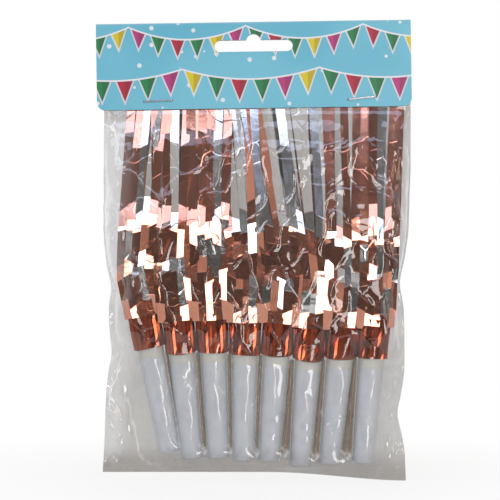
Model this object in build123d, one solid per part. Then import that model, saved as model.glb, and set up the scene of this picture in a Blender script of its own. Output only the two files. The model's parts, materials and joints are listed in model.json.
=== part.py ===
import os
from math import acos, cos, degrees, radians, sin, sqrt, tan
from build123d import *

# Party blowers with foil frills, packed in a clear hanging bag. Millimetres, Z up, front towards -Y.
# The origin is the centre of the hang slot in the header card.

# Row of blowers, counted from the left: lean of each (degrees, top to the right) and its lift
blower_leans = (-10.8, -5.8, -2.8, 0.8, 4.2, 4.4, 5.6, 4.9)
blower_lifts = (2.5, 0.3, 0.6, -0.4, -0.7, -2.8, -2.1, -1.8)
row_shift = 3.0
blower_gap = 0.35

# Mouthpiece: a tapered tube with a socket for the reed plug and the blow-out tube
mouthpiece_length = 54.0
tube_end_diameter = 11.6
mouth_diameter = 8.8
mouth_wall = 1.0
mouth_chamfer = 0.45
socket_depth = 14.0
socket_wall = 0.8

# Reed plug and its tongue
plug_fit = 0.06
plug_thickness = 3.0
holder_diameter = 4.8
holder_length = 15.0
holder_end_wall = 1.0
air_way = 2.4
tongue_width = 3.6
tongue_length = 13.0
tongue_thickness = 0.25
tongue_gap = 0.15
tongue_drop = 0.2

# Blow-out tube, flat: a straight neck that widens, and a roll
tube_thickness = 0.6
neck_fit = 0.3
roll_diameter = 13.2
roll_width = 10.6
roll_turn_gap = 0.65
roll_half_turns = 4
roll_above_collar = 1.4
unroll_travel = 25.0

# Foil frill: a crinkled collar round the mouthpiece, cut into strips above it
collar_height = 15.0
collar_overlap = 9.0
collar_fit = 0.08
foil_thickness = 0.25
pleat_depth = 0.35
pleat_count = 12
strips_per_side = 4
strip_width = 2.7
strip_gap = 0.35
strip_root = 1.5
flare_rise = 2.5
roll_room = 0.7
strip_kink = 0.8
strip_meet = 0.35
strip_meet_drop = 4.0
strip_lap = 0.6

# Header card, folded over the top of the bag, with its tilt (degrees, right side up when negative)
card_height = 36.3
card_thickness = 0.45
card_corner = 3.4
card_overhang = 1.9
card_fit = 0.1
card_tilt = -0.85
fold_above_slot = 10.1
slot_length = 32.9
slot_height = 4.9
slot_bump_width = 6.3
slot_bump_rise = 5.0

# Bag of clear film, sealed at the bottom and open between the card's flaps
film_thickness = 0.12
film_below_slot = 2.0
bag_length = 176.5
bag_seal = 2.0
bag_room = 0.45
bag_side_room = 3.4
bag_waist = 2.5
bag_corner = 2.0
bag_neck_depth = 1.6
mouth_room = 4.65
shoulder_room = 1.5
neck_below_card = 1.2

# Film over the row: half of its flat crest on a blower, its dip between two, and where it falls beside the row
film_crest = 2.6
film_dip = 3.2
film_fall = 13.0
film_step = 2.5
collar_room = 1.0

# Staples through card and bag
staple_wire = 0.55
staple_crown = 12.2
staple_bend = 0.45
staple_clinch = 4.2
staple_rise = 3.6
staple_fit = 0.15
staple_seat = 0.03
staple_places = (-40.3, 45.2)
staple_tilts = (-2.0, -5.6)
strip_tuck = 1.6

# Heights on one blower, measured from the lower edge of its collar
tube_end_z = collar_overlap
mouth_z = tube_end_z - mouthpiece_length
step_z = tube_end_z - socket_depth
plug_top_z = step_z + plug_thickness
roll_z = collar_height + roll_above_collar + roll_diameter / 2
roll_clear_z = roll_z + unroll_travel + roll_diameter / 2

# Radii that follow from the sizes above
tube_end_radius = tube_end_diameter / 2
mouth_radius = mouth_diameter / 2
taper = (tube_end_radius - mouth_radius) / mouthpiece_length
socket_radius = tube_end_radius - taper * socket_depth - socket_wall
bore_radius = mouth_radius - mouth_wall
plug_radius = socket_radius - plug_fit
collar_inner_radius = tube_end_radius + collar_fit
collar_radius = collar_inner_radius + foil_thickness + pleat_depth
strip_bulge = roll_diameter / 2 + roll_room
strip_pitch = strip_width + strip_gap

# Heights on the whole pack
fold_z = fold_above_slot
card_bottom_z = fold_z - card_height
staple_z = card_bottom_z + staple_rise
strip_top_z = card_bottom_z + strip_tuck
bag_top_z = -slot_height / 2 - film_below_slot
bag_bottom_z = bag_top_z - bag_length
neck_z = card_bottom_z - neck_below_card

# Place of the card with its slot and staples, turned about the slot's centre
card_place = Rot(0, card_tilt, 0)

# Places of the blowers: the pitch leaves a gap at the collars and at the mouths
blower_count = len(blower_leans)
lean_steps = [tan(radians(b)) - tan(radians(a)) for a, b in zip(blower_leans, blower_leans[1:])]
mouth_pitch = mouth_diameter + blower_gap - mouth_z * max(lean_steps)
blower_pitch = max(2 * collar_radius + blower_gap, mouth_pitch)
collar_level = bag_bottom_z + mouth_room - mouth_z - min(blower_lifts)
collar_x = [row_shift + (k - (blower_count - 1) / 2) * blower_pitch for k in range(blower_count)]
collar_z = [collar_level + lift for lift in blower_lifts]
blower_places = [
    Pos(x, 0, z) * Rot(0, lean, 0) for x, z, lean in zip(collar_x, collar_z, blower_leans)
]
shoulder_z = max(collar_z) + roll_clear_z + shoulder_room


def axis_x(k, z):
    """Where a blower is across the pack at a height: it leans up to its strips' bend, then stands upright."""
    rise = min(z - collar_z[k], roll_clear_z * cos(radians(blower_leans[k])))
    return collar_x[k] + tan(radians(blower_leans[k])) * rise


def row_half_width(z):
    """Half of the width that the row of blowers takes at a height of the pack."""
    return max(abs(axis_x(k, z)) for k in range(blower_count)) + collar_radius


def polar(centre, radius, angle):
    """Point at an angle (degrees) on a circle, in a sketch plane."""
    return (centre[0] + radius * cos(radians(angle)), centre[1] + radius * sin(radians(angle)))


def arc(centre, radius, start, end):
    """Arc about a centre from one angle to another, in degrees."""
    return ThreePointArc(
        polar(centre, radius, start),
        polar(centre, radius, (start + end) / 2),
        polar(centre, radius, end),
    )


def mouthpiece():
    """Tapered tube with a straight bore, and a wider socket whose step seats the reed plug."""
    half_section = Polyline(
        (bore_radius, mouth_z),
        (mouth_radius - mouth_chamfer, mouth_z),
        (mouth_radius, mouth_z + mouth_chamfer),
        (tube_end_radius, tube_end_z),
        (socket_radius, tube_end_z),
        (socket_radius, step_z),
        (bore_radius, step_z),
        close=True,
    )
    return revolve(make_face(Plane.XZ * half_section), Axis.Z)


def reed_plug():
    """Disc on the socket's step, with a half-round reed holder that points to the mouth."""
    disc = Pos(0, 0, (step_z + plug_top_z) / 2) * Cylinder(plug_radius, plug_thickness)
    holder_top_z = step_z + plug_thickness / 2
    holder_low_z = step_z - holder_length
    holder_height = holder_top_z - holder_low_z
    holder_middle = Pos(0, 0, (holder_top_z + holder_low_z) / 2)
    holder = holder_middle * Cylinder(holder_diameter / 2, holder_height)
    back_half = holder_middle * Pos(0, holder_diameter / 2, 0) * Box(
        holder_diameter, holder_diameter, holder_height
    )
    trough_low_z = holder_low_z + holder_end_wall
    trough_height = plug_top_z + plug_thickness - trough_low_z
    trough = Pos(0, 0, trough_low_z + trough_height / 2) * Box(air_way, air_way, trough_height)
    return disc + (holder & back_half) - trough


def reed_tongue():
    """Thin tongue over the open side of the reed holder."""
    top_z = step_z - tongue_drop
    tongue = Box(tongue_width, tongue_thickness, tongue_length)
    return Pos(0, -tongue_gap - tongue_thickness / 2, top_z - tongue_length / 2) * tongue


def roll_arcs(offset):
    """Half-turn arcs of the roll, from its outer end inwards, moved off its middle line."""
    pitch = tube_thickness + roll_turn_gap
    outer = (roll_diameter - tube_thickness) / 2
    arcs = []
    for half_turn in range(roll_half_turns):
        centre = (-pitch / 2 if half_turn % 2 else 0.0, roll_z)
        radius = outer - half_turn * pitch / 2 + offset
        start = 180.0 * half_turn
        arcs.append(arc(centre, radius, start, start + 180.0))
    return arcs


def tube_roll():
    """Flat tube wound up from the top of the neck, over the front and inwards."""
    inside = roll_arcs(-tube_thickness / 2)
    outside = roll_arcs(tube_thickness / 2)
    ends = [Line(inside[0] @ 0, outside[0] @ 0), Line(inside[-1] @ 1, outside[-1] @ 1)]
    section = make_face(inside + outside + ends)
    return extrude(Plane.YZ * section, roll_width / 2, both=True)


def roll_least_gap(steps=24):
    """Least gap between neighbouring turns, measured on points of the roll's middle line."""
    middle = roll_arcs(0.0)
    points = [part @ (step / steps) for part in middle for step in range(steps)]
    turn = 2 * steps
    gaps = []
    for i, here in enumerate(points):
        for there in points[i + turn - steps // 2:]:
            gaps.append((here - there).length - tube_thickness)
    return min(gaps)


def tube_neck():
    """Flat neck: out of the socket, back in an S to the roll's outer end, and wider upwards."""
    half = tube_thickness / 2
    end_y = roll_diameter / 2 - half
    rise = roll_z - tube_end_z
    radius = (rise ** 2 + end_y ** 2) / (4 * end_y)
    swing = degrees(acos(1 - end_y / (2 * radius)))
    low_centre = (radius, tube_end_z)
    high_centre = (end_y - radius, roll_z)
    front = [
        Line((-half, plug_top_z), (-half, tube_end_z)),
        arc(low_centre, radius + half, 180.0, 180.0 - swing),
        arc(high_centre, radius - half, -swing, 0.0),
    ]
    back = [
        Line((half, plug_top_z), (half, tube_end_z)),
        arc(low_centre, radius - half, 180.0, 180.0 - swing),
        arc(high_centre, radius + half, -swing, 0.0),
    ]
    ends = [Line(front[0] @ 0, back[0] @ 0), Line(front[-1] @ 1, back[-1] @ 1)]
    bent = extrude(Plane.YZ * make_face(front + back + ends), roll_width / 2, both=True)
    socket_half = sqrt((socket_radius - neck_fit) ** 2 - half ** 2)
    flat = Polyline(
        (-socket_half, plug_top_z),
        (-socket_half, tube_end_z),
        (-roll_width / 2, roll_z),
        (roll_width / 2, roll_z),
        (socket_half, tube_end_z),
        (socket_half, plug_top_z),
        close=True,
    )
    return bent & extrude(Plane.XZ * make_face(flat), roll_diameter, both=True)


def pleated_ring(inner_radius):
    """Closed zigzag outline of the crinkled collar."""
    points = []
    for corner in range(2 * pleat_count):
        radius = inner_radius + (pleat_depth if corner % 2 else 0.0)
        points.append(polar((0.0, 0.0), radius, 180.0 * corner / pleat_count))
    return make_face(Polyline(*points, close=True))


def foil_ribbon(x, path):
    """Foil strip of one width that follows a path of (depth, height) points, with its twin at the back."""
    outside = [(y + foil_thickness / 2, z) for y, z in path]
    inside = [(y - foil_thickness / 2, z) for y, z in reversed(path)]
    side = make_face(Polyline(*outside, *inside, close=True))
    strip = Pos(x, 0, 0) * extrude(Plane.YZ * side, strip_width / 2, both=True)
    return [strip, mirror(strip, Plane.XZ)]


def frill(x, low, lean):
    """Collar and strips of one sheet: the strips flare round the roll, stand up and meet under the card."""
    place = Pos(x, 0, low) * Rot(0, lean, 0)
    ring = pleated_ring(collar_inner_radius + foil_thickness) - pleated_ring(collar_inner_radius)
    collar = place * extrude(ring, collar_height)
    wall_radius = (collar_inner_radius + collar_radius) / 2
    meet_z = neck_z - strip_meet_drop
    strips = []
    for number in range(strips_per_side):
        aside = (number - (strips_per_side - 1) / 2) * strip_pitch
        root_y = sqrt(wall_radius ** 2 - aside ** 2)
        low_run = [
            (root_y, collar_height - strip_root),
            (strip_bulge, collar_height + flare_rise),
            (strip_bulge, roll_clear_z + strip_lap),
        ]
        strips += [place * strip for strip in foil_ribbon(aside, low_run)]
        bend = place * Pos(aside, 0, roll_clear_z)
        bend_x, bend_z = bend.position.X, bend.position.Z
        kink_y = (strip_bulge + strip_meet) / 2 - strip_kink * (number % 2)
        high_run = [
            (strip_bulge, bend_z - strip_lap),
            (strip_bulge, bend_z + strip_lap),
            (kink_y, (bend_z + meet_z) / 2),
            (strip_meet, meet_z),
            (strip_meet, strip_top_z),
        ]
        strips += foil_ribbon(bend_x, high_run)
    return collar.fuse(*strips)


def bag_section(z, half_width, edge, brink, crest, dip):
    """Outline of the bag at a height: flat edges, a crest over each blower and a dip between two."""
    centres = [axis_x(k, z) for k in range(blower_count)]
    fall_left = max(centres[0] - film_fall, bag_corner - half_width)
    fall_right = min(centres[-1] + film_fall, half_width - bag_corner)
    front = [(-half_width, -edge), (fall_left, -brink)]
    for centre, after in zip(centres, centres[1:] + [None]):
        front += [(centre - film_crest, -crest), (centre + film_crest, -crest)]
        if after is not None:
            front.append(((centre + after) / 2, dip - crest))
    front += [(fall_right, -brink), (half_width, -edge)]
    back = [(x, -y) for x, y in reversed(front)]
    return Pos(0, 0, z) * make_face(Polyline(*front, *back, close=True))


def bag():
    """Film as a thin shell: sealed edge, folds over the mouthpieces, belly round the rolls, flat neck in the card."""
    thin = 2 * film_thickness
    neck = bag_neck_depth / 2
    belly = strip_bulge + foil_thickness / 2 + bag_room + film_thickness
    spare = bag_room + film_thickness
    wide = row_half_width(strip_top_z) + bag_side_room
    waist = wide - bag_waist
    mouth_low_z = bag_bottom_z + mouth_room - bag_room
    collar_low_z = min(collar_z) - collar_room
    tube_low_z = collar_low_z - film_step
    collar_high_z = min(collar_z) + collar_height
    shape = [
        (bag_bottom_z, wide, thin, thin, thin, 0.0),
        (bag_bottom_z + bag_seal, wide, thin, thin, thin, 0.0),
        (mouth_low_z, wide, thin, thin, mouth_radius + spare, film_dip),
        (tube_low_z, waist, thin, thin, tube_end_radius + spare, film_dip),
        (collar_low_z, waist, thin, thin, collar_radius + spare, film_dip),
        (collar_high_z, waist, belly / 2, belly, belly, 0.0),
        (shoulder_z, wide, belly / 2, belly, belly, 0.0),
        (neck_z, wide, neck, neck, neck, 0.0),
        (bag_top_z, wide, neck, neck, neck, 0.0),
    ]
    outside = [bag_section(*level) for level in shape]
    inside = []
    for z, half_width, edge, brink, crest, dip in shape[1:]:
        depths = [depth - film_thickness for depth in (edge, brink, crest)]
        inside.append(bag_section(z, half_width - film_thickness, *depths, dip))
    film = loft(outside, ruled=True) - loft(inside, ruled=True)
    return film - card_place * leg_holes()


def card_outline():
    """Outline of one flap: square at the fold, round at the lower corners."""
    half = card_half_width()
    flap = Pos(0, (fold_z + card_bottom_z) / 2) * Rectangle(2 * half, card_height)
    low_corners = flap.vertices().sort_by(Axis.Y)[:2]
    return fillet(low_corners, card_corner)


def card_half_width():
    """Half of the card's width: the bag's flat width and an overhang."""
    return row_half_width(strip_top_z) + bag_side_room + card_overhang


def hang_slot():
    """Hang slot with a round bump over its middle."""
    bump_radius = slot_bump_width / 2
    bump = Pos(0, slot_bump_rise - bump_radius) * Circle(bump_radius)
    return SlotOverall(slot_length, slot_height) + bump


def card_back_y():
    """Distance of the card's outer faces from the middle of the bag."""
    return bag_neck_depth / 2 + card_fit + card_thickness


def header_card():
    """Card folded over the bag, with the hang slot and the staple holes through both flaps."""
    outer = card_back_y()
    inner = outer - card_thickness
    centre = (0.0, fold_z - outer)
    profile = [
        arc(centre, outer, 0.0, 90.0),
        arc(centre, outer, 90.0, 180.0),
        arc(centre, inner, 0.0, 90.0),
        arc(centre, inner, 90.0, 180.0),
        Line((outer, centre[1]), (outer, card_bottom_z)),
        Line((outer, card_bottom_z), (inner, card_bottom_z)),
        Line((inner, card_bottom_z), (inner, centre[1])),
        Line((-outer, centre[1]), (-outer, card_bottom_z)),
        Line((-outer, card_bottom_z), (-inner, card_bottom_z)),
        Line((-inner, card_bottom_z), (-inner, centre[1])),
    ]
    folded = extrude(Plane.YZ * make_face(profile), card_half_width(), both=True)
    flaps = extrude(Plane.XZ * card_outline(), 2 * outer, both=True)
    slot = extrude(Plane.XZ * hang_slot(), 2 * outer, both=True)
    return card_place * ((folded & flaps) - slot - leg_holes())


def leg_places():
    """Places of the staples' legs in the plane of the card, with the tilt of each."""
    places = []
    for middle, tilt in zip(staple_places, staple_tilts):
        for side in (-1, 1):
            x, z = polar((middle, staple_z), side * (staple_crown - staple_wire) / 2, -tilt)
            places.append((x, z, tilt))
    return places


def leg_holes():
    """Square holes that the staples' legs pass through."""
    side = staple_wire + 2 * staple_fit
    punch = Box(side, 3 * card_back_y(), side)
    return Part() + [Pos(x, 0, z) * Rot(0, tilt, 0) * punch for x, z, tilt in leg_places()]


def staples():
    """Two wire staples: crown on the front flap, legs through it, points bent in behind the card."""
    reach = card_back_y() + staple_seat + staple_wire / 2
    half = (staple_crown - staple_wire) / 2
    route = FilletPolyline(
        (-half + staple_clinch, reach, 0),
        (-half, reach, 0),
        (-half, -reach, 0),
        (half, -reach, 0),
        (half, reach, 0),
        (half - staple_clinch, reach, 0),
        radius=staple_bend,
    )
    end = Plane(origin=route @ 0, x_dir=(0, 0, 1), z_dir=route % 0)
    staple = sweep(end * Rectangle(staple_wire, staple_wire), path=route)
    placed = []
    for x, tilt in zip(staple_places, staple_tilts):
        placed.append(card_place * Pos(x, 0, staple_z) * Rot(0, tilt, 0) * staple)
    return Compound(children=placed)


def main():
    """Build every piece and write it to its own file."""
    os.makedirs("parts", exist_ok=True)
    pieces = {"bag": bag(), "header_card": header_card(), "staples": staples()}
    shared = {
        "mouthpiece": mouthpiece(),
        "reed_plug": reed_plug(),
        "reed_tongue": reed_tongue(),
        "tube_neck": tube_neck(),
        "tube_roll": tube_roll(),
    }
    for k, place in enumerate(blower_places):
        for name, piece in shared.items():
            pieces[f"{name}_{k + 1}"] = place * piece
        pieces[f"frill_{k + 1}"] = frill(collar_x[k], collar_z[k], blower_leans[k])
    for name, piece in pieces.items():
        export_step(piece, f"parts/{name}.step")
    print(f"least gap between the turns of a roll: {roll_least_gap():.2f} mm")


main()
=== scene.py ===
import json
import math
import random

import bpy
import numpy as np
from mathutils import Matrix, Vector


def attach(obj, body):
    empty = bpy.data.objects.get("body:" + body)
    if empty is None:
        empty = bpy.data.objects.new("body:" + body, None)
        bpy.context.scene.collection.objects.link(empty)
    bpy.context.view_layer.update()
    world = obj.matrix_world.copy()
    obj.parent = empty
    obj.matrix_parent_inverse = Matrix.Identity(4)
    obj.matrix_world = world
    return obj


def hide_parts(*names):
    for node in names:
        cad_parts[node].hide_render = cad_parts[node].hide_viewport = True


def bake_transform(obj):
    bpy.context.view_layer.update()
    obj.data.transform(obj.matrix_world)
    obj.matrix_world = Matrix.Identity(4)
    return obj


# A hanging pack of party blowers: crinkled film over foil frills, under a folded card.
# Metres, Z up, front towards -Y. Sizes of the pieces below are in millimetres and scaled by MM.
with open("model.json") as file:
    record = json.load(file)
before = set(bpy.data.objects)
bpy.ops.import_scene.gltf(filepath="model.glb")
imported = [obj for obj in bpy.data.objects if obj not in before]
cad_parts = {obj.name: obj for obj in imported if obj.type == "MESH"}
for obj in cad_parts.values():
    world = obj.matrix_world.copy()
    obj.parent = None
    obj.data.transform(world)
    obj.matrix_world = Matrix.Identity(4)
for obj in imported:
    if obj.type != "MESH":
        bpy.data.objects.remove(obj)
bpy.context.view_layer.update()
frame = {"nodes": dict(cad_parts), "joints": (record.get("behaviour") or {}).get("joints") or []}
MM = 0.001

# Heights on one blower, measured from the lower edge of its collar
SOCKET_STEP = -5.0
PLUG_TOP = -2.0
TUBE_END = 9.0
COLLAR_TOP = 15.0
ROLL_CENTRE = 23.0
ROLL_FRONT = 39.0
ROLL_CLEAR = 54.6
MOUTH = -45.0
# Sizes across one blower
MOUTH_RADIUS = 4.4
TUBE_END_RADIUS = 5.8
SOCKET_RADIUS = 4.64
COLLAR_RADIUS = 6.25
ROLL_RADIUS = 6.6
ROLL_WIDTH = 10.6
TUBE_THICKNESS = 0.6
FOIL_THICKNESS = 0.05
FILM_DIP = 2.4
FOLD = 0.25
STRIP_WIDTH = 3.7
STRIP_PITCH = 3.1
STRIPS_PER_SIDE = 5
# Heights on the pack
BAG_TOP = -4.45
BAG_BOTTOM = -178.9
CARD_BOTTOM = -26.2
STRIP_TOP = -24.9
# Tilt of the card in degrees
CARD_TILT = 0.85

# Outline of the filled bag as (height, left edge, right edge)
BAG_EDGES = (
    (-4.4, -62.7, 65.4), (-27.0, -62.7, 66.0), (-56.0, -62.9, 65.9), (-79.0, -63.0, 65.0),
    (-90.7, -61.9, 63.2), (-96.2, -60.8, 61.7), (-100.8, -59.4, 61.3), (-108.4, -60.8, 63.0),
    (-119.3, -60.5, 63.4), (-129.8, -59.4, 63.4), (-137.3, -61.1, 63.4), (-146.6, -62.0, 61.9),
    (-154.4, -62.3, 60.0), (-160.3, -62.4, 61.5), (-167.2, -62.6, 63.4), (-179.0, -63.4, 64.0),
)
# Half-depth of the bag round the frills by height
BAG_DEPTHS = ((-131.5, 7.7), (-112.0, 8.5), (-72.0, 8.5), (-39.0, 5.0), (-27.6, 0.75), (-4.4, 0.75))
# Front strips of each frill from left to right above the roll: R and r are rose, S and s silver, small letters pale
STRIP_LOOKS = ("RRSsR", "RRsRR", "RRRSR", "RssrS", "SSrsS", "sSsSR", "RsRRR", "RRSRR")
# How far the first and the last of them lean sideways from the roll to the card
STRIP_SWEEPS = (
    (5.0, 6.5), (-1.0, 2.0), (-1.0, 2.5), (-6.0, -2.0), (-14.0, -8.0), (-17.0, 1.0), (-2.0, 1.5), (0.0, 4.0),
)
# How far below the card they bend in towards it
STRIP_TUCK = (15.0, 13.0, 14.0, 0.0, 0.0, 0.0, 0.0, 0.0)
# Share of bright folds where they leave the roll, and in front of it; share of pale ones anywhere
STRIP_SHINE = (1.0, 0.65, 0.85, 0.3, 0.05, 0.15, 0.45, 0.5)
LOW_SHINE = (0.17, 0.14, 0.15, 0.09, 0.09, 0.09, 0.02, 0.02)
PALE_SHARE = 0.10
# Share of the low runs that are turned over, silver side out
TURNED_SHARE = 0.2


class Blower:
    """Place of one blower in the pack, read from its joints."""

    def __init__(self, number, joints):
        roll_turn = joints[f"roll_{number}_turn"]
        self.number = number
        self.across = Vector(roll_turn["axis"])
        self.up = Vector(joints[f"blowout_{number}_unroll"]["axis"])
        self.origin = Vector(roll_turn["pos_m"]) - self.up * ROLL_CENTRE * MM

    def place(self, x, y, z):
        """A point of the blower in the pack, from millimetres across, back and up."""
        return self.origin + (self.across * x + Vector((0.0, y, 0.0)) + self.up * z) * MM

    def axis_x(self, z):
        """Where the blower's axis is across the pack at a height of the pack, in millimetres."""
        return self.origin.x / MM + (z - self.origin.z / MM) * self.up.x / self.up.z


def make_piece(name, verts, faces, materials, face_materials=None, smooth=False):
    """A mesh object of closed faces with its materials."""
    mesh = bpy.data.meshes.new(name)
    mesh.from_pydata(verts, [], faces)
    for material in materials:
        mesh.materials.append(material)
    if face_materials is not None:
        mesh.polygons.foreach_set("material_index", face_materials)
    mesh.polygons.foreach_set("use_smooth", [smooth] * len(mesh.polygons))
    mesh.update()
    made = bpy.data.objects.new(name, mesh)
    bpy.context.scene.collection.objects.link(made)
    return made


# Shader building

def new_group(name, inputs, outputs):
    """An empty node group with named sockets."""
    group = bpy.data.node_groups.new(name, "ShaderNodeTree")
    for label, kind, value in inputs:
        socket = group.interface.new_socket(label, in_out="INPUT", socket_type=kind)
        if value is not None:
            socket.default_value = value
    for label, kind in outputs:
        group.interface.new_socket(label, in_out="OUTPUT", socket_type=kind)
    return group, group.nodes.new("NodeGroupInput"), group.nodes.new("NodeGroupOutput")


def add(tree, kind, links=(), **settings):
    """A node with its properties set and its inputs linked or filled."""
    node = tree.nodes.new(kind)
    for key, value in settings.items():
        setattr(node, key, value)
    for label, value in links:
        socket = node.inputs[label]
        if isinstance(value, bpy.types.NodeSocket):
            tree.links.new(value, socket)
        else:
            socket.default_value = value
    return node


def math_node(tree, operation, a, b=0.0, clamp=False):
    """Output of one maths node."""
    return add(tree, "ShaderNodeMath", [(0, a), (1, b)], operation=operation, use_clamp=clamp).outputs[0]


def smooth_range(tree, value, low, high):
    """A value eased from 0 at low to 1 at high."""
    node = add(tree, "ShaderNodeMapRange", [("Value", value), ("From Min", low), ("From Max", high)],
               interpolation_type="SMOOTHSTEP")
    return node.outputs["Result"]


def mix_colour(tree, share, first, second, blend="MIX"):
    """Output of one colour mix."""
    node = tree.nodes.new("ShaderNodeMix")
    node.data_type = "RGBA"
    node.blend_type = blend
    for index, value in ((0, share), (6, first), (7, second)):
        if isinstance(value, bpy.types.NodeSocket):
            tree.links.new(value, node.inputs[index])
        else:
            node.inputs[index].default_value = value
    return node.outputs[2]


def colour(red, green, blue):
    """A linear colour from display values of 0 to 255."""
    shares = (((c / 255.0 + 0.055) / 1.055) ** 2.4 if c > 10 else c / 3300.0 for c in (red, green, blue))
    return (*shares, 1.0)


def mottle_group():
    """Uneven tone: a colour that drifts between two, and a roughness that drifts with it."""
    group, given, made = new_group(
        "uneven_tone",
        [("Light", "NodeSocketColor", None), ("Dark", "NodeSocketColor", None),
         ("Scale", "NodeSocketFloat", 200.0), ("Smooth", "NodeSocketFloat", 0.2),
         ("Rough", "NodeSocketFloat", 0.4)],
        [("Color", "NodeSocketColor"), ("Roughness", "NodeSocketFloat")],
    )
    spot = add(group, "ShaderNodeTexCoord")
    noise = add(group, "ShaderNodeTexNoise", [("Vector", spot.outputs["Object"]), ("Detail", 4.0),
                                              ("Scale", given.outputs["Scale"]), ("Roughness", 0.55)])
    eased = smooth_range(group, noise.outputs["Fac"], 0.32, 0.68)
    tone = mix_colour(group, eased, given.outputs["Light"], given.outputs["Dark"])
    group.links.new(tone, made.inputs["Color"])
    span = add(group, "ShaderNodeMapRange", [("Value", eased), ("To Min", given.outputs["Smooth"]),
                                             ("To Max", given.outputs["Rough"])])
    group.links.new(span.outputs["Result"], made.inputs["Roughness"])
    return group


def crinkle_group():
    """Height of a crumpled skin: folded cells with soft waves between them."""
    group, given, made = new_group(
        "crumpled_skin",
        [("Cells", "NodeSocketFloat", 90.0), ("Waves", "NodeSocketFloat", 300.0),
         ("Wave share", "NodeSocketFloat", 0.4), ("Ridge", "NodeSocketFloat", 0.08)],
        [("Height", "NodeSocketFloat"), ("Ridge", "NodeSocketFloat")],
    )
    spot = add(group, "ShaderNodeTexCoord")
    bend = add(group, "ShaderNodeTexNoise", [("Vector", spot.outputs["Object"]), ("Scale", 70.0), ("Detail", 2.0)])
    drift = add(group, "ShaderNodeVectorMath", [(0, bend.outputs["Color"]), (1, (0.012, 0.012, 0.012))],
                operation="MULTIPLY")
    bent = add(group, "ShaderNodeVectorMath", [(0, spot.outputs["Object"]), (1, drift.outputs[0])], operation="ADD")
    cells = add(group, "ShaderNodeTexVoronoi", [("Vector", bent.outputs[0]), ("Scale", given.outputs["Cells"])],
                feature="DISTANCE_TO_EDGE")
    edge = add(group, "ShaderNodeMapRange", [("Value", cells.outputs["Distance"]),
                                             ("From Max", given.outputs["Ridge"]), ("To Min", 1.0), ("To Max", 0.0)])
    where = add(group, "ShaderNodeTexNoise", [("Vector", spot.outputs["Object"]), ("Scale", 38.0), ("Detail", 1.0)])
    here = smooth_range(group, where.outputs["Fac"], 0.46, 0.62)
    ridge = math_node(group, "MULTIPLY", edge.outputs["Result"], here)
    waves = add(group, "ShaderNodeTexNoise", [("Vector", bent.outputs[0]), ("Scale", given.outputs["Waves"]),
                                              ("Detail", 3.0)])
    soft = math_node(group, "MULTIPLY", waves.outputs["Fac"], given.outputs["Wave share"])
    group.links.new(math_node(group, "ADD", ridge, soft), made.inputs["Height"])
    group.links.new(ridge, made.inputs["Ridge"])
    return group


PENNANT_INKS = (
    colour(176, 38, 60), colour(214, 196, 30), colour(34, 128, 74), colour(180, 58, 122), colour(40, 84, 144),
)


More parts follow.
